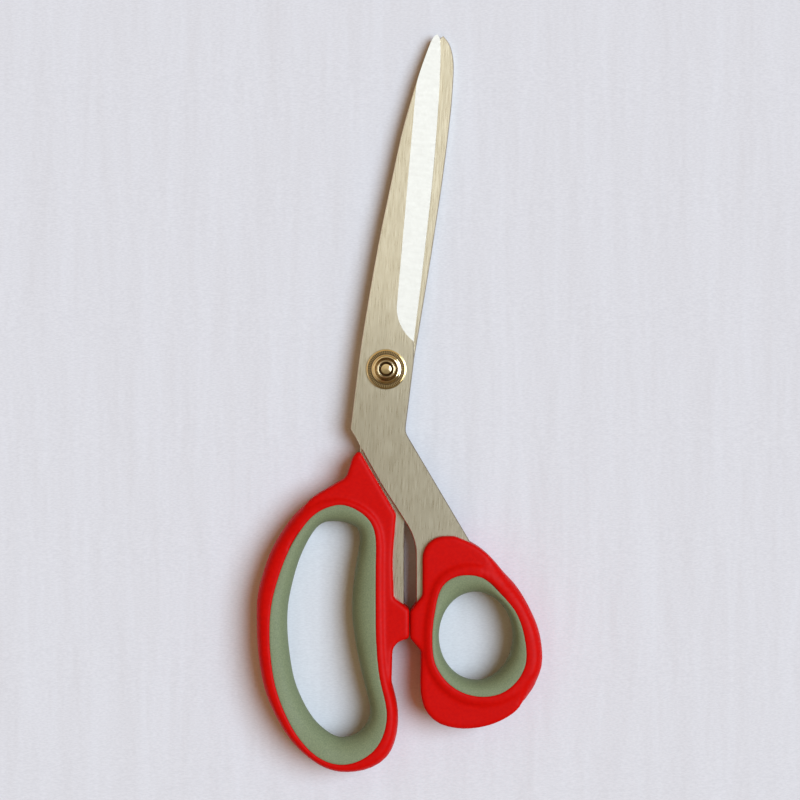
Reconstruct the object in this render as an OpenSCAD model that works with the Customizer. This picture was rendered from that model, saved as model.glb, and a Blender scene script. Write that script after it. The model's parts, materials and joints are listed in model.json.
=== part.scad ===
// Fabric shears, closed: two bent steel blades on a screw-and-nut pivot, each tang moulded into a hard
// plastic bow that is lined with a soft grip.
// Frame: +Y runs towards the blade tips, and +Z is the pivot's axis, up from the table.
// The origin is on the table, below the middle of the closed shears.

/* [Blades] */
// Pivot to blade tips
blade_len = 110; // [90:0.5:130]
// Thickness of the blade steel
steel_t = 2.5; // [2:0.1:2.8]
// Slip gap between the two blades
blade_gap = 0.06; // [0.04:0.01:0.1]
// Pivot to the spine of either blade
spine_w = 9.2; // [8.6:0.1:10]
// Pivot to the heel of the cutting edge, across the blade
edge_w = 7.3; // [6.8:0.1:8]
// Pivot to the heel of the cutting edge, along the blade
heel = 10.2; // [9:0.1:14]
// Pivot to the unground edge below the heel
ricasso_w = 8.4; // [8:0.1:9]
// Lean of the closed blades from the line where the bows meet
blade_lean = 9.2; // [8:0.1:10]
// Width of the ground bevel, from the straight line between heel and tip
bevel_w = 6.4; // [5:0.1:7]
// Most that the cutting edge bows out past that line
edge_bow = 1.4; // [1:0.1:2]
// Thickness left at the cutting edge
edge_t = 0.25; // [0.1:0.05:0.5]
// Radius that the grinding wheel leaves at the heel
runout_r = 14; // [10:0.5:20]

/* [Tangs] */
// Width of the thumb blade's bent neck
neck_w = 13.8; // [13.5:0.1:15]
// Bend of the neck from the line where the bows meet
neck_bend = 31.6; // [30:0.1:33]
// Length of the neck, from its bend to the end of its outer side
neck_len = 52.2; // [51:0.1:54]
// Width of the finger tang
tang_w = 7.6; // [6:0.1:7.8]
// Pivot to the finger tang's inner side
tang_x = 5.85; // [5.4:0.05:6]
// Pivot to the ends of both tangs
tang_len = 86; // [84:0.5:92]
// Radius of the hole that locks the plastic to each tang
lock_r = 1.5; // [1:0.1:1.8]

/* [Pivot] */
// Radius of the screw's shank
shank_r = 2.95; // [2.5:0.05:3.5]
// Running clearance round the shank
shank_clear = 0.05; // [0.02:0.01:0.1]
// Radius of the screw's head
head_r = 5.5; // [5:0.1:6.5]
// Height of the screw's head
head_h = 1.9; // [1.5:0.1:2.2]
// Width of the slot in the head
slot_w = 1.2; // [1:0.1:1.6]
// Radius of the screw's thread
thread_r = 2.0; // [1.8:0.05:2.2]
// Outer radius of the serrated washer
washer_r = 6.5; // [6.2:0.1:7.5]
// Thickness of the washer's floor
washer_t = 0.5; // [0.4:0.05:0.7]
// Height of the washer's rim
rim_h = 1.0; // [0.8:0.05:1.2]
// Number of teeth inside the rim
teeth = 60; // [40:1:72]
// Radius of the nut's skirt
nut_r = 4.3; // [3.9:0.1:4.6]
// Height of the nut
nut_h = 3.6; // [3:0.1:4]

/* [Bows] */
// Thickness of the rounded bows
bow_t = 13; // [12.4:0.1:15]
// Thickness of the flat webs between bow and tang
web_t = 11.4; // [10:0.1:11.8]
// Radius of the webs' edges
web_edge = 1.2; // [0.8:0.1:1.6]
// How far the soft grip's faces lie below the bow's
grip_inset = 0.2; // [0.1:0.05:0.4]
// Gap between moulded plastic and what it is moulded on
mould_gap = 0.05; // [0.03:0.01:0.1]
// Gap between the two stop lugs when the shears are closed
stop_gap = 0.15; // [0.1:0.05:0.3]
// Pivot to the stop lugs' meeting line
stop_x = 7.6; // [7.4:0.1:8]
// Pivot to the top of the finger grip
finger_top = 43.8; // [43:0.1:46]
// Length of the finger hole
finger_hole_l = 69.8; // [60:0.5:76]
// Width of the finger hole
finger_hole_w = 26.8; // [24:0.1:30]
// Usual width of the finger grip
finger_grip_w = 6; // [5:0.1:6.5]
// Usual width of the hard rim round the finger grip
finger_rim_w = 4; // [3.6:0.1:4.6]
// Pivot to the outer side of the thumb grip's narrow stretch
thumb_side = 15; // [14.8:0.1:16]
// Pivot to the top of the thumb hole
thumb_top = 72.3; // [71:0.1:76]
// Length of the thumb hole
thumb_hole_l = 28.5; // [26:0.1:30]
// Width of the thumb hole
thumb_hole_w = 23.9; // [22:0.1:26]
// Usual width of the thumb grip
thumb_grip_w = 4.4; // [4:0.1:5]
// Usual width of the hard rim round the thumb grip
thumb_rim_w = 4.4; // [4:0.1:5]

/* [Hidden] */
$fn = 64;

// ---- heights, from the table up ----
mid_z = bow_t / 2;
finger_z = mid_z - blade_gap / 2 - steel_t;
thumb_z = mid_z + blade_gap / 2;
washer_z = thumb_z + steel_t;
nut_z = washer_z + washer_t;

// ---- curves and rounded corners ----
curve_steps = 5;
arc_step = 9;

// one point of the smooth curve that runs through b and c
function between(a, b, c, d, t) =
    (2 * b + (c - a) * t + (2 * a - 5 * b + 4 * c - d) * t ^ 2 + (3 * b - a - 3 * c + d) * t ^ 3) / 2;
// smooth curve through the points p, open or closed
function open_curve(p) = let (m = len(p) - 1) [
    for (i = [0 : m - 1]) for (k = [0 : curve_steps - 1])
        between(p[max(i - 1, 0)], p[i], p[i + 1], p[min(i + 2, m)], k / curve_steps),
    p[m]
];
function closed_curve(p) = let (m = len(p)) [
    for (i = [0 : m - 1]) for (k = [0 : curve_steps - 1])
        between(p[(i + m - 1) % m], p[i], p[(i + 1) % m], p[(i + 2) % m], k / curve_steps)
];
function unit(v) = v / norm(v);
function turned(d) = d > 180 ? d - 360 : d < -180 ? d + 360 : d;
// the corner b between a and c, as an arc of radius r
function corner_arc(a, b, c, r) = r == 0 ? [b] : let (
        u = unit(a - b),
        v = unit(c - b),
        half = acos(u * v) / 2,
        middle = b + unit(u + v) * r / sin(half),
        first = b + u * r / tan(half) - middle,
        last = b + v * r / tan(half) - middle,
        start = atan2(first.y, first.x),
        sweep = turned(atan2(last.y, last.x) - start),
        steps = ceil(abs(sweep) / arc_step)
    ) [for (k = [0 : steps]) middle + r * [cos(start + sweep * k / steps), sin(start + sweep * k / steps)]];
function flat(p) = [p.x, p.y];
// closed outline from corners [x, y, radius]
function rounded(c) = let (m = len(c)) [
    for (i = [0 : m - 1]) each corner_arc(flat(c[(i + m - 1) % m]), flat(c[i]), flat(c[(i + 1) % m]), c[i].z)
];
// sharp corners from plain points
function sharp(p) = [for (q = p) [q.x, q.y, 0]];
// from the blades' own frame, whose y runs from pivot to tips, to the shears' frame
function leaned(p) = [for (q = p) [
    q.x * cos(blade_lean) + q.y * sin(blade_lean),
    q.y * cos(blade_lean) - q.x * sin(blade_lean)
]];

// ---- blade outlines: shares of spine or edge width, and of the blade's length ----
thumb_spine = [[-0.96, -0.06], [-1, 0.05], [-1, 0.21], [-0.965, 0.38], [-0.875, 0.55], [-0.77, 0.705],
               [-0.54, 0.86], [-0.34, 0.955], [-0.22, 0.99], [-0.1, 1]];
finger_spine = [[0.89, -0.07], [0.91, 0.05], [0.925, 0.2], [0.92, 0.4], [0.89, 0.58], [0.81, 0.76],
                [0.74, 0.84], [0.65, 0.91], [0.53, 0.95], [0.35, 0.98], [0.1, 1]];
cutting_edge = [[0, 0.99], [0.14, 0.945], [0.33, 0.845], [0.45, 0.765], [0.62, 0.635], [0.735, 0.515],
                [0.84, 0.36], [0.92, 0.25]];

function across(p, w) = [for (q = p) [q.x * w, q.y * blade_len]];
function flipped(p) = [for (i = [len(p) - 1 : -1 : 0]) p[i]];
edge_points = open_curve(concat(across(cutting_edge, edge_w), [[edge_w, heel]]));
// edge from tip to heel, then the unground stretch below it
edge_side = concat(edge_points, [[ricasso_w, heel - 6]]);
mirrored_edge = [for (p = edge_side) [-p.x, p.y]];

// ---- neck and tangs ----
neck_dir = [sin(neck_bend), -cos(neck_bend)];
neck_out = [-cos(neck_bend), -sin(neck_bend)];
neck_corner = [-spine_w - 2.3, -19.4];
// a point beside the neck's inner side: along it from its corner, and out from it
function by_neck(along, out) = neck_corner + neck_dir * along + neck_out * out;
thumb_tang_x = tang_x + 3.8;
// the inner side bellies out a little, then turns down into the tang
neck_inner = open_curve([
    [thumb_tang_x, -62], by_neck(44.2, 2.45), by_neck(41.7, 1.5), by_neck(39, 0.9), by_neck(36.1, 0.7),
    by_neck(33, 0.72), by_neck(28.8, 0.78), by_neck(21, 0.95), by_neck(9.9, 0.55), by_neck(3.3, 0)
]);
lock_y = 5 - tang_len;

thumb_outline = rounded(concat(
    sharp(leaned(open_curve(across(thumb_spine, spine_w)))),
    sharp(leaned(edge_side)),
    [
        [6.1, -20.3, 5],
        concat(by_neck(neck_len, -neck_w), 1.5),
        [thumb_tang_x + 4.6, -71, 6],
        [thumb_tang_x + 3.5, -tang_len, 1],
        [thumb_tang_x, -tang_len, 1]
    ],
    sharp(neck_inner),
    [concat(neck_corner, 2)]
));
finger_outline = rounded(concat(
    sharp(leaned(flipped(open_curve(across(finger_spine, spine_w))))),
    [
        [tang_x, -17, 20],
        [tang_x, -tang_len, 1],
        [tang_x - tang_w, -tang_len, 1],
        [tang_x - tang_w, -47, 12],
        [-8.6, -29, 8]
    ],
    sharp(leaned(flipped(mirrored_edge)))
));

module steel(outline, hole_x) {
    difference() {
        linear_extrude(steel_t) polygon(outline);
        translate([0, 0, -1]) cylinder(r = shank_r + shank_clear, h = steel_t + 2);
        translate([hole_x, lock_y, -1]) cylinder(r = lock_r, h = steel_t + 2);
    }
}
// what grinding takes off the top face: a flat bevel that ends in the wheel's round run-out
module bevel_cut() {
    chord_lean = atan(edge_w / (blade_len - heel));
    bevel_angle = atan((steel_t - edge_t) / (bevel_w + edge_bow));
    runout_y = sqrt(runout_r ^ 2 - (runout_r - bevel_w) ^ 2);
    rotate([0, 0, -blade_lean]) translate([edge_w, heel, steel_t]) rotate([0, 0, chord_lean])
        translate([-bevel_w, 0, 0]) rotate([0, bevel_angle, 0]) linear_extrude(8) {
            translate([runout_r - 0.05, runout_y]) circle(r = runout_r);
            translate([-2, runout_y]) square([32, 1.2 * blade_len]);
        }
}

// ---- bows: [x, y] on the hole's edge as shares of its half sizes, then shares of grip and rim width ----
finger_stations = [
    [0.55, 0.21, 1.3, 0.9], [0.63, 0.555, 1.13, 0.9], [0.745, 0.815, 0.88, 0.88], [0.665, 0.945, 0.82, 0.78],
    [0.24, 1, 0.95, 0.72], [-0.245, 0.963, 0.6, 1.14], [-0.67, 0.69, 0.68, 1.34], [-0.933, 0.335, 0.82, 1.34],
    [-1, 0.07, 0.9, 1.13], [-0.94, -0.232, 0.98, 1.06], [-0.785, -0.52, 1.02, 0.98], [-0.42, -0.8, 1.13, 0.79],
    [0.015, -0.96, 1.3, 0.62], [0.39, -1, 1.34, 0.79], [0.785, -0.93, 1.18, 1.24], [1, -0.756, 0.89, 0.93],
    [0.815, -0.447, 0.92, 0.88], [0.635, -0.117, 1.15, 0.93]
];
thumb_widths = [
    [0.78, 1.24], [0.56, 1.08], [0.54, 1.34], [1.26, 1.25], [1.5, 0.95], [0.72, 0.9],
    [0.48, 0.85], [0.7, 0.9], [0.84, 0.96], [1.03, 0.98], [1.33, 1.07], [1.29, 1.3]
];
thumb_stations = [for (i = [0 : 11]) concat([cos(30 * i), sin(30 * i)], thumb_widths[i])];

finger_middle = [
    -3.5 - finger_stations[0][2] * finger_grip_w - finger_stations[0].x * finger_hole_w / 2,
    -finger_top - finger_stations[4][2] * finger_grip_w - finger_hole_l / 2
];
thumb_middle = [
    thumb_side + thumb_stations[6][2] * thumb_grip_w + thumb_hole_w / 2,
    -thumb_top - thumb_hole_l / 2
];

// rows of [point on the hole's edge, direction out of the hole, grip width, rim width]
function bow_rows(stations, middle, w, l, grip_w, rim_w) = let (
        c = closed_curve(stations),
        m = len(c),
        p = [for (q = c) middle + [q.x * w / 2, q.y * l / 2]]
    ) [for (i = [0 : m - 1]) let (along = unit(p[(i + 1) % m] - p[(i + m - 1) % m])) [
        p[i], [along.y, -along.x], c[i][2] * grip_w, c[i][3] * rim_w
    ]];
finger_rows = bow_rows(finger_stations, finger_middle, finger_hole_w, finger_hole_l, finger_grip_w, finger_rim_w);
thumb_rows = bow_rows(thumb_stations, thumb_middle, thumb_hole_w, thumb_hole_l, thumb_grip_w, thumb_rim_w);
function grip_outline(rows, out) = [for (r = rows) r[0] + r[1] * (r[2] + out)];

// quarter of an ellipse about [x, z], from angle a to a + 90
corner_steps = 4;
function quarter(x, z, rx, rz, a, steps) =
    [for (k = [0 : steps]) [x + rx * cos(a + 90 * k / steps), z + rz * sin(a + 90 * k / steps)]];
// sections across a bow: share of the width, height
rim_flat = 0.42;
rim_drop = 4.6;
rim_section = concat(
    [[0, 0]],
    quarter(rim_flat, rim_drop, 1 - rim_flat, rim_drop, -90, corner_steps),
    quarter(rim_flat, bow_t - rim_drop, 1 - rim_flat, rim_drop, 0, corner_steps),
    [[0, bow_t]]
);
grip_flat = 0.15;
grip_half = mid_z - grip_inset;
grip_section = concat(
    [[0, grip_inset]],
    quarter(grip_flat, mid_z, 1 - grip_flat, grip_half, -90, corner_steps),
    quarter(grip_flat, mid_z, 1 - grip_flat, grip_half, 0, corner_steps),
    [[0, bow_t - grip_inset]]
);
// closed loft: at each row a section that starts at base and is stretched by reach
module loft(base, reach, section) {
    n = len(base);
    m = len(section);
    polyhedron(
        points = [for (i = [0 : n - 1]) for (q = section)
            [base[i].x + reach[i].x * q.x, base[i].y + reach[i].y * q.x, q.y]],
        faces = [for (i = [0 : n - 1]) for (j = [0 : m - 1]) let (
                a = i * m + j,
                b = i * m + (j + 1) % m,
                c = (i + 1) % n * m + (j + 1) % m,
                d = (i + 1) % n * m + j
            ) each [[a, b, c], [a, c, d]]]
    );
}
module rim(rows) {
    loft([for (r = rows) r[0] + r[1] * r[2]], [for (r = rows) r[1] * r[3]], rim_section);
}
module grip(rows) {
    loft([for (r = rows) r[0] + r[1] * (r[2] - mould_gap)], [for (r = rows) -r[1] * (r[2] - mould_gap)],
         grip_section);
}

// ---- webs between bow and tang ----
lug_x = stop_x - stop_gap / 2;
lug_high = -77.6;
lug_low = -86.9;
// points beside a bow, as shares of its hole's half sizes from the middle of its hole
function by_finger(x, y) = finger_middle + [x * finger_hole_w, y * finger_hole_l] / 2;
function by_thumb(x, y) = thumb_middle + [x * thumb_hole_w, y * thumb_hole_l] / 2;
finger_web = rounded([
    concat(by_neck(6.8, 1.05), 0.8), [-11, -28.6, 2], [-12.9, -34.9, 3.5], concat(by_finger(-0.53, 1.205), 14),
    concat(by_finger(-0.92, 0.913), 0), concat(by_finger(-0.398, 0.699), 0), concat(by_finger(0.498, -0.333), 0),
    concat(by_finger(1.51, -0.591), 0), concat(by_finger(1.53, -0.419), 6), concat(by_finger(1.55, -0.121), 4.4),
    [lug_x, lug_low, 0.7], [lug_x, lug_high, 1],
    [2.5, lug_high + 3.9, 1.5], [2.1, -61, 40], concat(by_neck(31.1, 1.8), 1.2)
]);
thumb_web = rounded(concat(
    sharp(open_curve([for (q = [
        [-0.574, 2.291], [0.078, 2.032], [0.664, 1.554], [1.049, 0.986],
        [1.292, 0.319], [1.459, -0.312], [1.501, -0.839], [1.401, -1.253],
        [1.083, -1.667], [0.564, -1.933], [-0.005, -2.060], [-0.574, -2.060],
        [-1.051, -1.933], [-1.369, -1.660], [-1.503, -1.253], [-1.503, -0.733]
    ]) by_thumb(q.x, q.y)])),
    [
        concat(by_thumb(-1.495, -0.312), 2),
        [stop_x + stop_gap / 2, lug_low, 0.7],
        [stop_x + stop_gap / 2, lug_high - 0.6, 1],
        [11.65, lug_high + 4.6, 2],
        concat(by_thumb(-1.457, 2.291), 7.2)
    ]
));
module web(outline) {
    translate([0, 0, (bow_t - web_t) / 2 + web_edge]) minkowski() {
        linear_extrude(web_t - 2 * web_edge) offset(delta = -web_edge) polygon(outline);
        sphere(r = web_edge, $fn = 16);
    }
}
module shell(rows, web_outline, tang_outline, tang_z, hole_x) {
    difference() {
        union() {
            rim(rows);
            web(web_outline);
        }
        translate([0, 0, -1]) linear_extrude(bow_t + 2) polygon(grip_outline(rows, 0));
        translate([0, 0, tang_z - mould_gap]) linear_extrude(steel_t + 2 * mould_gap) difference() {
            offset(delta = mould_gap) polygon(tang_outline);
            translate([hole_x, lock_y]) circle(r = lock_r - mould_gap);
        }
    }
}

// ---- place in the part's own frame ----
outer_points = concat([for (r = concat(finger_rows, thumb_rows)) r[0] + r[1] * (r[2] + r[3])], thumb_outline,
                      finger_outline, thumb_web);
xs = [for (p = outer_points) p.x];
ys = [for (p = outer_points) p.y];
pivot = -[max(xs) + min(xs), max(ys) + min(ys)] / 2;
module placed(z) translate([pivot.x, pivot.y, z]) children();

finger_lock_x = 2.6;
thumb_lock_x = thumb_tang_x + 2;

module finger_blade() {
    color([0.72, 0.71, 0.66]) placed(finger_z) difference() {
        steel(finger_outline, finger_lock_x);
        // the bevel is ground into the face below, on the side of the cutting edge
        translate([0, 0, steel_t]) rotate([0, 0, -blade_lean]) mirror([1, 0, 0]) rotate([0, 0, blade_lean])
            mirror([0, 0, 1]) bevel_cut();
    }
}
module thumb_blade() {
    color([0.78, 0.77, 0.72]) placed(thumb_z) difference() {
        steel(thumb_outline, thumb_lock_x);
        bevel_cut();
    }
}
module finger_shell() {
    color([0.8, 0.05, 0.04]) placed(0) shell(finger_rows, finger_web, finger_outline, finger_z, finger_lock_x);
}
module thumb_shell() {
    color([0.8, 0.05, 0.04]) placed(0) shell(thumb_rows, thumb_web, thumb_outline, thumb_z, thumb_lock_x);
}
module finger_grip() {
    color([0.42, 0.5, 0.42]) placed(0) grip(finger_rows);
}
module thumb_grip() {
    color([0.42, 0.5, 0.42]) placed(0) grip(thumb_rows);
}

// ---- pivot ----
shoulder_top = nut_z - 0.1;
thread_top = nut_z + nut_h - 0.3;
head_round = 0.8;
module pivot_screw() {
    color([0.8, 0.68, 0.42]) placed(0) difference() {
        rotate_extrude() polygon(concat(
            [[0, finger_z - head_h]],
            quarter(head_r - head_round, finger_z - head_h + head_round, head_round, head_round, -90, 5),
            [[head_r, finger_z], [shank_r, finger_z], [shank_r, shoulder_top], [thread_r, shoulder_top],
             [thread_r, thread_top - 0.4], [thread_r - 0.4, thread_top], [0, thread_top + 0.15]]
        ));
        translate([-head_r - 1, -slot_w / 2, finger_z - head_h - 1]) cube([2 * head_r + 2, slot_w, 1.9]);
    }
}
module serrated_washer() {
    rim_w = 0.55;
    tooth_in = nut_r + 0.3;
    color([0.83, 0.68, 0.36]) placed(washer_z) {
        rotate_extrude() polygon([
            [shank_r + shank_clear, 0], [washer_r - 0.15, 0], [washer_r, 0.15], [washer_r, rim_h - 0.25],
            [washer_r - 0.2, rim_h], [washer_r - rim_w, rim_h - 0.15], [washer_r - rim_w, washer_t],
            [shank_r + shank_clear, washer_t]
        ]);
        for (i = [0 : teeth - 1]) rotate(i * 360 / teeth)
            translate([tooth_in, -0.13, washer_t - 0.1]) cube([washer_r - rim_w - tooth_in + 0.1, 0.26, 0.4]);
    }
}
module pivot_nut() {
    color([0.86, 0.72, 0.4]) placed(nut_z) rotate_extrude() polygon([
        [thread_r + shank_clear, 0], [nut_r, 0], [nut_r, 0.5], [nut_r - 0.25, 0.8],
        [nut_r - 0.5, 0.85], [nut_r - 0.7, 1.5], [nut_r - 1.1, 2.4], [thread_r + 0.75, nut_h - 0.35],
        [thread_r + 0.45, nut_h], [thread_r + 0.25, nut_h], [thread_r + shank_clear, nut_h - 0.3]
    ]);
}

finger_blade();
finger_shell();
finger_grip();
thumb_blade();
thumb_shell();
thumb_grip();
pivot_screw();
serrated_washer();
pivot_nut();
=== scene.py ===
import json
import math

import bmesh
import bpy
from mathutils import Matrix, Vector


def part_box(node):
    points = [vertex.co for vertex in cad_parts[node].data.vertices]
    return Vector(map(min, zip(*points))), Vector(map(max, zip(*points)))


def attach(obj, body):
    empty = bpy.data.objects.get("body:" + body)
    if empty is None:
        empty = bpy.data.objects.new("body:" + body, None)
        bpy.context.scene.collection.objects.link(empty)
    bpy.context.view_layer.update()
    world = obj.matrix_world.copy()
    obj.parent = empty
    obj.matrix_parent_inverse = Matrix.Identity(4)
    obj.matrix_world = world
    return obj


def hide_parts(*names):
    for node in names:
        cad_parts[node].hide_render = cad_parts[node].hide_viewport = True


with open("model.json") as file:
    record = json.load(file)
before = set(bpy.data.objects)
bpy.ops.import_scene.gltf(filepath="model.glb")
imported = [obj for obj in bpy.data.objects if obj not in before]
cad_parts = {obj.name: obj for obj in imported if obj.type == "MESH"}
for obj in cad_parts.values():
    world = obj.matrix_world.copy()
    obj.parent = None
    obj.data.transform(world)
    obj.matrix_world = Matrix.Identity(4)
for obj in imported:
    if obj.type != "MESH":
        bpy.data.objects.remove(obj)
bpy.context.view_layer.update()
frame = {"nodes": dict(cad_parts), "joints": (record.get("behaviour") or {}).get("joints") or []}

MM = 0.001
PIVOT = Vector(frame["joints"][0]["pos_m"])


# ---------------------------------------------------------------------------
# What all the pieces share: the solids they start from, and the makings of a material.

WELD = 0.0005 * MM
FLAT_FACE = (2.5 * MM) ** 2  # a larger face is part of a plane, and is shaded flat


def cast(node):
    """The node's solid as one welded shape."""
    shape = bmesh.new()
    shape.from_mesh(frame["nodes"][node].data)
    bmesh.ops.remove_doubles(shape, verts=shape.verts, dist=WELD)
    return shape


def settled(shape, *steps):
    """The shape after these modifiers, (kind, {setting: value}), as a new shape."""
    mesh = bpy.data.meshes.new("blank")
    shape.to_mesh(mesh)
    shape.free()
    blank = bpy.data.objects.new("blank", mesh)
    bpy.context.scene.collection.objects.link(blank)
    for kind, settings in steps:
        step = blank.modifiers.new(kind.lower(), kind)
        for key, value in settings.items():
            setattr(step, key, value)
    bpy.context.view_layer.update()
    graph = bpy.context.evaluated_depsgraph_get()
    done = bmesh.new()
    done.from_mesh(blank.evaluated_get(graph).to_mesh())
    bpy.data.objects.remove(blank)
    bpy.data.meshes.remove(mesh)
    return done


def add_piece(name, shape, finishes, body, node, crease=40):
    """Makes the shape a finished piece that stands for the node.

    Edges stay sharp from the crease angle on, in degrees.
    """
    mesh = bpy.data.meshes.new(name)
    shape.to_mesh(mesh)
    shape.free()
    mesh.shade_smooth()
    mesh.set_sharp_from_angle(angle=math.radians(crease))
    for face in mesh.polygons:
        if face.area > FLAT_FACE:
            face.use_smooth = False
    for finish in finishes:
        mesh.materials.append(finish)
    piece = bpy.data.objects.new(name, mesh)
    bpy.context.scene.collection.objects.link(piece)
    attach(piece, body)
    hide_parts(node)


def set_inputs(tree, target, inputs):
    """Gives inputs of a shader node, by name or number, a value or another node's output."""
    for key, value in inputs.items():
        if isinstance(value, bpy.types.NodeSocket):
            tree.links.new(value, target.inputs[key])
        else:
            target.inputs[key].default_value = value


def add_node(tree, kind, inputs, **settings):
    """A shader node with its settings and inputs."""
    made = tree.nodes.new(kind)
    for key, value in settings.items():
        setattr(made, key, value)
    set_inputs(tree, made, inputs)
    return made


def spread(tree, value, seen, wanted=(0, 1), **settings):
    """The value, taken from the range in which it is seen to the wanted one."""
    ends = {"From Min": seen[0], "From Max": seen[1], "To Min": wanted[0], "To Max": wanted[1]}
    made = add_node(tree, "ShaderNodeMapRange", {"Value": value, **ends}, **settings)
    return made.outputs["Result"]


def ramp(tree, value, *stops):
    """The colour that the value picks between two stops, each (position, colour)."""
    made = add_node(tree, "ShaderNodeValToRGB", {"Fac": value})
    for stop, (position, colour) in zip(made.color_ramp.elements, stops):
        stop.position = position
        stop.color = (*colour, 1)
    return made.outputs["Color"]


def noise(tree, place, size, detail, roughness=0.5):
    """Cloudy noise at a place, the size being the number of its spots in one unit."""
    inputs = {"Vector": place, "Scale": size, "Detail": detail, "Roughness": roughness}
    return add_node(tree, "ShaderNodeTexNoise", inputs).outputs["Fac"]


def bump(tree, height, strength, depth):
    """The normal of a surface that is raised where the height is great."""
    inputs = {"Height": height, "Strength": strength, "Distance": depth}
    return add_node(tree, "ShaderNodeBump", inputs).outputs["Normal"]


def make_group(name, inputs, outputs):
    """An empty node group with float inputs and outputs, and its two end nodes."""
    group = bpy.data.node_groups.new(name, "ShaderNodeTree")
    for way, titles in (("INPUT", inputs), ("OUTPUT", outputs)):
        for title in titles:
            group.interface.new_socket(title, in_out=way, socket_type="NodeSocketFloat")
    return group, group.nodes.new("NodeGroupInput"), group.nodes.new("NodeGroupOutput")


def new_finish(name, colour, roughness, metallic=0.0):
    """A material with one shader; returns it with its node tree and its shader."""
    finish = bpy.data.materials.new(name)
    finish.use_nodes = True
    tree = finish.node_tree
    shader = tree.nodes["Principled BSDF"]
    set_inputs(tree, shader, {
        "Base Color": (*colour, 1), "Roughness": roughness, "Metallic": metallic})
    return finish, tree, shader


# ---------------------------------------------------------------------------
# Blades. Each is one blank of 2.5 mm stainless steel, brushed along its length, broken at
# its edges, and ground on one side to a bright cutting bevel. The lower one belongs
# to the finger bow and the upper one, with its wide bent neck, to the thumb bow.

BAND_SIZE = 0.22  # how densely the bands lie, as a share of the lines
LINE_SHARE, BAND_SHARE = 0.55, 0.45
ROOT_SHADE_FADE = (-22 * MM, 36 * MM)  # along the blade from the pivot, where the painted shade on the root runs out toward the tip

BREAK = 0.26 * MM
BORE_CLEAR = 5 * MM  # edges nearer to the pivot than this belong to the bore
LEVEL = 0.999  # how far a face looks up or down: the blank's flats at least this,
UPRIGHT = 0.05  # its walls at most this,
GROUND = (0.93, 0.985)  # and its ground bevel between these
GROUND_AREA = (8 * MM) ** 2


def brushed_grain():
    """Fine lines left by the brushing belt, and wider, fainter bands that break them up."""
    group, given, out = make_group("brushed_grain", ["Turn", "Width", "Length"], ["Line", "Band"])
    place = group.nodes.new("ShaderNodeTexCoord")
    turn = add_node(group, "ShaderNodeCombineXYZ", {"Z": given.outputs["Turn"]})
    laid = add_node(group, "ShaderNodeMapping", {
        "Vector": place.outputs["Object"], "Rotation": turn.outputs[0]}, vector_type="POINT")
    for title, share in (("Line", 1.0), ("Band", BAND_SIZE)):
        width, length = (
            add_node(group, "ShaderNodeMath", {0: given.outputs[size], 1: share},
                     operation="MULTIPLY").outputs[0]
            for size in ("Width", "Length"))
        stretch = add_node(group, "ShaderNodeCombineXYZ", {"X": width, "Y": length, "Z": width})
        scaled = add_node(group, "ShaderNodeVectorMath", {
            0: laid.outputs[0], 1: stretch.outputs[0]}, operation="MULTIPLY")
        lines = noise(group, scaled.outputs[0], 1.0, 2.0, 0.6)
        group.links.new(lines, out.inputs[title])
    return group


GRAIN = brushed_grain()


def steel_finish(name, dark, light, rough, turn, width, length, depth, root_shade_tone):
    """Brushed steel: its tone, roughness and relief follow the grain, and a painted shade darkens
    it toward the root.
    """
    finish, tree, shader = new_finish(name, light, rough[0], 1.0)
    grain = add_node(tree, "ShaderNodeGroup", node_tree=GRAIN, inputs={
        "Turn": turn, "Width": width, "Length": length})
    band = add_node(tree, "ShaderNodeMath", {
        0: grain.outputs["Band"], 1: BAND_SHARE}, operation="MULTIPLY")
    both = add_node(tree, "ShaderNodeMath", {
        0: grain.outputs["Line"], 1: LINE_SHARE, 2: band.outputs[0]}, operation="MULTIPLY_ADD")
    tone = ramp(tree, both.outputs[0], (0.32, dark), (0.68, light))
    place = tree.nodes.new("ShaderNodeTexCoord")
    along = add_node(tree, "ShaderNodeSeparateXYZ", {0: place.outputs["Object"]})
    # Painted shade: the colour darkens toward the pivot and the neck, standing in for the dimmer
    # reflection there.
    painted_root_shade = spread(
        tree, along.outputs["Y"], (PIVOT.y + ROOT_SHADE_FADE[0], PIVOT.y + ROOT_SHADE_FADE[1]), (root_shade_tone, 1),
        interpolation_type="SMOOTHSTEP")
    shaded = add_node(tree, "ShaderNodeVectorMath", {0: tone, "Scale": painted_root_shade}, operation="SCALE")
    set_inputs(tree, shader, {
        "Base Color": shaded.outputs[0],
        "Roughness": spread(tree, grain.outputs["Line"], (0.3, 0.7), rough),
        "Normal": bump(tree, grain.outputs["Line"], 0.2, depth),
    })
    return finish


# The last setting is the painted shade's darkest share of the colour, at the root.
brushed_steel = steel_finish(
    "brushed_steel", dark=(0.63, 0.545, 0.40), light=(0.80, 0.70, 0.535), rough=(0.26, 0.34),
    turn=math.radians(3), width=5200, length=170, depth=0.008 * MM, root_shade_tone=0.67)
ground_steel = steel_finish(
    "ground_steel", dark=(0.385, 0.33, 0.275), light=(0.445, 0.385, 0.322), rough=(0.50, 0.56),
    turn=math.radians(96), width=4200, length=300, depth=0.004 * MM, root_shade_tone=1.0)


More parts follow.
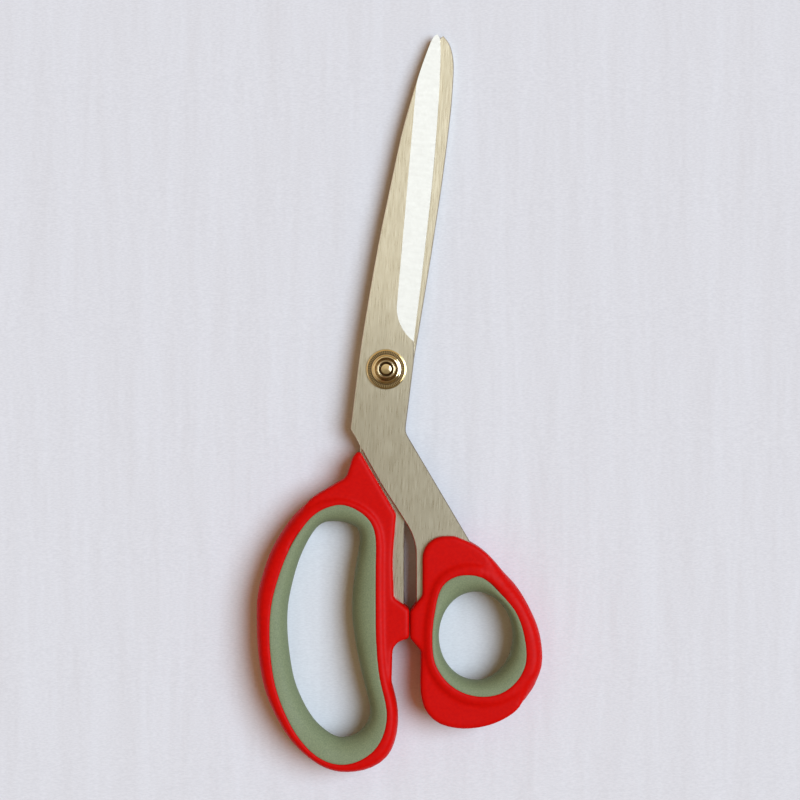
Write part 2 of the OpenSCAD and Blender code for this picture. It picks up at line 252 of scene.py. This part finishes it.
def blade(node_name, body):
    """The steel blank with its long edges broken and its ground bevel marked."""
    shape = cast(node_name)
    bmesh.ops.dissolve_limit(
        shape, angle_limit=math.radians(0.4), verts=shape.verts, edges=shape.edges,
        delimit={"NORMAL"})
    shape.normal_update()
    flat = {f for f in shape.faces if abs(f.normal.z) > LEVEL}
    wall = {f for f in shape.faces if abs(f.normal.z) < UPRIGHT}
    outline = [
        e for e in shape.edges
        if len(e.link_faces) == 2
        and flat.intersection(e.link_faces)
        and wall.intersection(e.link_faces)
        and (e.verts[0].co.xy - PIVOT.xy).length > BORE_CLEAR
    ]
    bmesh.ops.bevel(
        shape, geom=outline, offset=BREAK, offset_type="OFFSET", segments=1, profile=0.5,
        affect="EDGES", clamp_overlap=False, material=-1)
    shape.normal_update()
    for f in shape.faces:
        if GROUND[0] < abs(f.normal.z) < GROUND[1] and f.calc_area() > GROUND_AREA:
            f.material_index = 1
    add_piece(
        node_name.replace("_blade", "_blade_steel"), shape, [brushed_steel, ground_steel], body,
        node_name, crease=24)


blade("finger_blade", "finger_half")
blade("thumb_blade", "thumb_half")


# ---------------------------------------------------------------------------
# Bows. Each is moulded round its tang in hard red plastic: a rounded rim that swells out of
# a flatter web, all of it soft-edged, as it leaves a polished mould.

SKIN = 0.4 * MM  # the mesh of a bow's surface
BLEND_SHARES = (1.0, 0.75, 0.5)  # a blend is smoothed in rounds, each nearer to its point
BLEND_STEPS = 24
FILLET_R = 4.2 * MM
FILLET_H = 5.6 * MM


def moulded_grain():
    """The fine unevenness of a moulding: a slow swell and small flecks."""
    group, given, out = make_group(
        "moulded_grain", ["Fleck size", "Swell size"], ["Fleck", "Swell"])
    place = group.nodes.new("ShaderNodeTexCoord")
    for title, detail in (("Fleck", 3.0), ("Swell", 2.0)):
        spots = noise(
            group, place.outputs["Object"], given.outputs[title + " size"], detail, 0.55)
        group.links.new(spots, out.inputs[title])
    return group


MOULDED = moulded_grain()


def moulded_finish(name, colours, rough, fleck, swell, depth):
    """Moulded plastic or rubber, between two close colours."""
    finish, tree, shader = new_finish(name, colours[1], rough[0])
    grain = add_node(tree, "ShaderNodeGroup", node_tree=MOULDED, inputs={
        "Fleck size": fleck, "Swell size": swell})
    seen = (0.35, 0.65)
    set_inputs(tree, shader, {
        "Base Color": ramp(tree, grain.outputs["Fleck"], *zip(seen, colours)),
        "Roughness": spread(tree, grain.outputs["Swell"], seen, rough),
        "Normal": bump(tree, grain.outputs["Fleck"], 0.4, depth),
    })
    return finish


red_plastic = moulded_finish(
    "red_plastic", colours=((0.57, 0.003, 0.002), (0.63, 0.004, 0.002)), rough=(0.36, 0.44),
    fleck=900, swell=160, depth=0.01 * MM)
red_shader = red_plastic.node_tree.nodes["Principled BSDF"]
red_shader.inputs["Specular IOR Level"].default_value = 0.06


def shell(node_name, body, blends, fillets=()):
    """One moulding with its corners rounded.

    Blends are (x, y, reach), where the web runs out softly, and fillets (x, y), where a
    dent of the outline is filled, in mm from the pivot.
    """
    shape = cast(node_name)
    middle = (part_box(node_name)[0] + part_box(node_name)[1]) / 2
    for x, y in fillets:
        fillet = bmesh.ops.create_uvsphere(
            shape, u_segments=24, v_segments=12, radius=FILLET_R)["verts"]
        bmesh.ops.scale(shape, vec=(1, 1, FILLET_H / FILLET_R), verts=fillet)
        bmesh.ops.translate(
            shape, vec=(PIVOT.x + x * MM, PIVOT.y + y * MM, middle.z), verts=fillet)
    shape = settled(
        shape,
        ("REMESH", {"mode": "VOXEL", "voxel_size": SKIN, "adaptivity": 0.0}),
        ("SMOOTH", {"factor": 0.5, "iterations": 9}),
    )
    for x, y, reach in blends:
        point = PIVOT.xy + Vector((x, y)) * MM
        for share in BLEND_SHARES:
            near = [v for v in shape.verts if (v.co.xy - point).length < share * reach * MM]
            for _ in range(BLEND_STEPS):
                bmesh.ops.smooth_vert(
                    shape, verts=near, factor=0.5, use_axis_x=True, use_axis_y=True,
                    use_axis_z=True)
    add_piece(
        node_name + "_moulding", shape, [red_plastic], body, node_name, crease=180)


shell("finger_shell", "finger_half", blends=[(-34.0, -53.0, 6.0)])
shell(
    "thumb_shell", "thumb_half", blends=[(38.5, -66.3, 8.0), (46.6, -104.4, 5.5)],
    fillets=[(45.4, -98.7), (44.4, -101.4), (42.45, -104.1)])


# ---------------------------------------------------------------------------
# Grips. Soft grey-green rubber, moulded into the bows afterwards. Each rolls over from the
# rim into the hole, and has the dry, faintly flecked surface of such rubber.

PRESS = 0.3 * MM  # how far a grip's outer wall is pressed into the bow
CORNER = math.radians(50)  # edges sharper than this keep most of their corner
CORNER_KEPT = 0.85

soft_rubber = moulded_finish(
    "soft_rubber", colours=((0.168, 0.205, 0.108), (0.235, 0.272, 0.145)), rough=(0.62, 0.78),
    fleck=2600, swell=90, depth=0.05 * MM)


def grip(node_name, body):
    """One grip, its outer wall pressed into the bow and its rolled face rounded further."""
    shape = cast(node_name)
    bmesh.ops.join_triangles(
        shape, faces=shape.faces, angle_face_threshold=math.radians(40),
        angle_shape_threshold=math.radians(60))
    shape.normal_update()
    outward = {}
    for wall in shape.faces:
        if abs(wall.normal.z) < UPRIGHT:
            for v in wall.verts:
                outward[v] = outward.get(v, Vector()) + wall.normal
    for v, way in outward.items():
        v.co += way.normalized() * PRESS
    crease = shape.edges.layers.float.new("crease_edge")
    for e in shape.edges:
        if len(e.link_faces) == 2 and e.calc_face_angle() > CORNER:
            e[crease] = CORNER_KEPT
    shape = settled(shape, ("SUBSURF", {"levels": 2, "render_levels": 2}))
    add_piece(
        node_name + "_rubber", shape, [soft_rubber], body, node_name, crease=50)


grip("finger_grip", "finger_half")
grip("thumb_grip", "thumb_half")


# ---------------------------------------------------------------------------
# Pivot. A slotted brass screw comes up through both blades; a stepped nut clamps it on a
# dished washer whose rolled rim holds a ring of fine teeth. All three are polished, and the
# groove round the teeth and the one in the nut get a painted shade: a dark brass in place of the
# shade in these recesses.

TEETH = 60
TOOTH_WIDTH, TOOTH_HEIGHT, TOOTH_TOP = 0.3, 0.6, 0.6  # mm, mm, and the top's share of width
TOOTH_MIDDLE = 0.6  # mm above the washer's underside


def uneven_metal(name, colour, roughness, grain_kind, size, seen, rough):
    """Metal whose polish follows one kind of the moulded grain, Fleck or Swell."""
    finish, tree, shader = new_finish(name, colour, roughness, 1.0)
    grain = add_node(
        tree, "ShaderNodeGroup", node_tree=MOULDED, inputs={grain_kind + " size": size})
    set_inputs(tree, shader, {
        "Roughness": spread(tree, grain.outputs[grain_kind], seen, rough)})
    return finish


brass = uneven_metal(
    "polished_brass", (0.82, 0.66, 0.41), 0.1, "Swell", 700, seen=(0.4, 0.75), rough=(0.07, 0.16))
# Painted shade: a dark brass laid on the recesses, where shade falls.
painted_recess_shade = uneven_metal(
    "painted_shade_recess", (0.09, 0.05, 0.022), 0.45, "Fleck", 4000, seen=(0, 1), rough=(0.35, 0.65))


def paint_recess_shade(shape, r_in, r_out, low, high):
    """Gives the faces between two radii and two heights, in mm, the dark brass of the painted
    recess shade.
    """
    for face in shape.faces:
        spot = face.calc_center_median()
        if r_in < (spot.xy - PIVOT.xy).length / MM < r_out and low <= spot.z / MM <= high:
            face.material_index = 1


def turned(profile, level, turns=96):
    """A closed profile of (radius, height) in mm, turned about the pivot."""
    shape = bmesh.new()
    points = [
        shape.verts.new((PIVOT.x + r * MM, PIVOT.y, level + z * MM)) for r, z in profile]
    rim = [shape.edges.new((a, b)) for a, b in zip(points, points[1:] + points[:1])]
    bmesh.ops.spin(
        shape, geom=points + rim, cent=PIVOT, axis=(0, 0, 1), angle=2 * math.pi, steps=turns,
        use_merge=True)
    bmesh.ops.remove_doubles(shape, verts=shape.verts, dist=0.001 * MM)
    bmesh.ops.recalc_face_normals(shape, faces=shape.faces)
    return shape


def softened(shape, width=0.07):
    """The same shape with its sharp edges rounded, the width being in mm."""
    return settled(shape, ("BEVEL", {
        "width": width * MM, "segments": 3, "limit_method": "ANGLE",
        "angle_limit": math.radians(25), "use_clamp_overlap": True}))


def add_tooth(shape, turn, r_in, r_out, level):
    """One tooth of the washer, between two radii in mm, with a narrower top."""
    tooth = bmesh.ops.create_cube(shape, size=1.0)["verts"]
    bmesh.ops.scale(
        shape, vec=((r_out - r_in) * MM, TOOTH_WIDTH * MM, TOOTH_HEIGHT * MM), verts=tooth)
    top = [v for v in tooth if v.co.z > 0]
    bmesh.ops.scale(shape, vec=(1, TOOTH_TOP, 1), verts=top)
    bmesh.ops.translate(shape, vec=((r_in + r_out) / 2 * MM, 0, 0), verts=tooth)
    bmesh.ops.rotate(shape, cent=(0, 0, 0), matrix=Matrix.Rotation(turn, 3, "Z"), verts=tooth)
    bmesh.ops.translate(shape, vec=(PIVOT.x, PIVOT.y, level), verts=tooth)


washer_low, washer_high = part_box("serrated_washer")
washer_r = (washer_high.x - washer_low.x) / 2 / MM
washer_h = (washer_high.z - washer_low.z) / MM
washer = turned([
    (3.0, 0), (washer_r - 0.2, 0), (washer_r, 0.2), (washer_r, washer_h - 0.35),
    (washer_r - 0.12, washer_h - 0.08), (washer_r - 0.3, washer_h),
    (washer_r - 0.5, washer_h - 0.1), (washer_r - 0.6, washer_h - 0.35),
    (washer_r - 0.65, 0.5), (4.75, 0.5), (4.55, 0.62), (4.3, 0.5), (3.0, 0.5),
], washer_low.z)
paint_recess_shade(
    washer, 4.7, washer_r - 0.25, washer_low.z / MM + 0.4, washer_low.z / MM + 0.9)
for i in range(TEETH):
    add_tooth(
        washer, 2 * math.pi * i / TEETH, 5.05, washer_r - 0.45, washer_low.z + TOOTH_MIDDLE * MM)
add_piece(
    "serrated_washer_brass", washer, [brass, painted_recess_shade], "finger_half",
    "serrated_washer")

nut_low, nut_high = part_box("pivot_nut")
nut_r = (nut_high.x - nut_low.x) / 2 / MM
nut_h = (nut_high.z - nut_low.z) / MM
nut = softened(turned([
    (2.05, 0), (nut_r, 0), (nut_r, 0.45), (nut_r - 0.15, 0.62), (nut_r - 0.42, 0.66),
    (nut_r - 0.5, 0.78), (nut_r - 0.62, 1.2), (nut_r - 0.85, 1.7), (nut_r - 1.12, 2.1),
    (nut_r - 1.3, 2.5), (nut_r - 1.36, 2.95), (nut_r - 1.45, nut_h - 0.3),
    (nut_r - 1.62, nut_h - 0.08), (nut_r - 1.8, nut_h), (2.35, nut_h - 0.12),
    (2.28, nut_h - 0.9), (2.05, nut_h - 0.95),
], nut_low.z))
paint_recess_shade(nut, 2.0, 2.4, nut_high.z / MM - 1.1, nut_high.z / MM - 0.06)
add_piece("pivot_nut_brass", nut, [brass, painted_recess_shade], "finger_half", "pivot_nut")

add_piece(
    "pivot_screw_brass", softened(cast("pivot_screw")), [brass], "finger_half",
    "pivot_screw")


# ---------------------------------------------------------------------------
# Table. The shears lie on the front of the bows' undersides and on the blade tips, so the
# table, spread with pale cloth, leans a little against them.

TABLE_SIZE = 3.0
BOW_FRONT = 14.5 * MM  # how far behind its web's point the finger bow meets the table
CLEARANCE = 0.02 * MM

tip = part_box("finger_blade")
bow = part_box("finger_shell")
front_of_bow = bow[1].y - BOW_FRONT
slope = tip[0].z / (tip[1].y - front_of_bow)
table = bmesh.new()
bmesh.ops.create_grid(table, x_segments=2, y_segments=2, size=TABLE_SIZE)
bmesh.ops.rotate(
    table, cent=(0, 0, 0), matrix=Matrix.Rotation(math.atan(slope), 3, "X"), verts=table.verts)
bmesh.ops.translate(table, vec=(0, 0, -slope * front_of_bow - CLEARANCE), verts=table.verts)
table_mesh = bpy.data.meshes.new("table")
table.to_mesh(table_mesh)
table.free()

cloth, cloth_tree, cloth_shader = new_finish("pale_cloth", (0.755, 0.75, 0.77), 0.95)
cloth_place = cloth_tree.nodes.new("ShaderNodeTexCoord").outputs["Object"]
weave = add_node(
    cloth_tree, "ShaderNodeMapping", {"Vector": cloth_place, "Scale": (900, 2600, 1000)})
drape = add_node(
    cloth_tree, "ShaderNodeMapping", {"Vector": cloth_place, "Scale": (55, 9, 30)})
threads = noise(cloth_tree, weave.outputs[0], 1.0, 2.0)
folds = noise(cloth_tree, drape.outputs[0], 1.0, 3.0)
set_inputs(cloth_tree, cloth_shader, {
    "Base Color": ramp(
        cloth_tree, threads, (0.3, (0.715, 0.71, 0.728)), (0.7, (0.785, 0.78, 0.797))),
    "Normal": bump(cloth_tree, folds, 0.25, 4 * MM),
    "Specular IOR Level": 0.1,
})
table_mesh.materials.append(cloth)
table_top = bpy.data.objects.new("table", table_mesh)
bpy.context.scene.collection.objects.link(table_top)


# ---------------------------------------------------------------------------
# Light. A window-like lamp stands on the right. Matt surfaces also get a warm fill from all
# round, while polished ones mirror a room: dark walls, a ceiling that brightens toward the
# tips, and a bright horizon on the left.

WINDOW_LIFT, WINDOW_SWING = math.radians(57), math.radians(8)
FILL = (0.37, 0.23, 0.12, 1)
WALL = (0.10, 0.07, 0.045, 1)
HORIZON = (1.0, 0.9, 0.78, 1)
CEILING = ((0.35, (0.20, 0.165, 0.095)), (0.75, (0.95, 0.86, 0.66)))
CEILING_EDGE = (0.5, 0.85)  # the height of a ray, from wall to ceiling
HORIZON_EDGE = (-0.35, -0.9)  # how far a ray goes left, from none of the horizon to all
MIX_FACTOR, MIX_A, MIX_B, MIX_RESULT = 0, 6, 7, 2  # a colour mix's sockets go by number

window = bpy.data.lights.new("window", "SUN")
window.angle = math.radians(40)
window.energy = 3.35
window.color = (0.666, 0.83, 1.0)
window_holder = bpy.data.objects.new("window", window)
toward = Vector((
    math.cos(WINDOW_LIFT) * math.cos(WINDOW_SWING),
    math.cos(WINDOW_LIFT) * math.sin(WINDOW_SWING),
    math.sin(WINDOW_LIFT)))
window_holder.rotation_euler = toward.to_track_quat("Z", "Y").to_euler()
window_holder.location = toward
bpy.context.scene.collection.objects.link(window_holder)


def mixed(tree, factor, first, second):
    """The colour between two others that the factor picks."""
    made = add_node(tree, "ShaderNodeMix", {
        MIX_FACTOR: factor, MIX_A: first, MIX_B: second}, data_type="RGBA")
    return made.outputs[MIX_RESULT]


world = bpy.data.worlds.new("room")
bpy.context.scene.world = world
world.use_nodes = True
room = world.node_tree
ray = room.nodes.new("ShaderNodeLightPath")
sky = room.nodes.new("ShaderNodeTexCoord")
split = add_node(room, "ShaderNodeSeparateXYZ", {0: sky.outputs["Generated"]})
ceiling = ramp(room, spread(room, split.outputs["Y"], (-1, 1)), *CEILING)
above = mixed(room, spread(room, split.outputs["Z"], CEILING_EDGE), WALL, ceiling)
around = mixed(room, spread(room, split.outputs["X"], HORIZON_EDGE), above, HORIZON)
shown = mixed(room, ray.outputs["Is Glossy Ray"], FILL, around)
room.links.new(shown, room.nodes["Background"].inputs["Color"])


# ---------------------------------------------------------------------------
# Camera, straight above the blades' meeting plane.

SENSOR = 36
VIEW_WIDTH, CAMERA_HEIGHT = 260 * MM, 700 * MM
VIEW_X, VIEW_Y = 4.45 * MM, -9.95 * MM  # the middle of the view, from the pivot

camera = bpy.data.cameras.new("camera")
camera.sensor_width = SENSOR
camera.lens = SENSOR * CAMERA_HEIGHT / VIEW_WIDTH
camera.clip_start = 0.01
camera_holder = bpy.data.objects.new("camera", camera)
camera_holder.location = (PIVOT.x + VIEW_X, PIVOT.y + VIEW_Y, PIVOT.z + CAMERA_HEIGHT)
bpy.context.scene.collection.objects.link(camera_holder)
bpy.context.scene.camera = camera_holder
bpy.context.scene.view_settings.view_transform = "Standard"
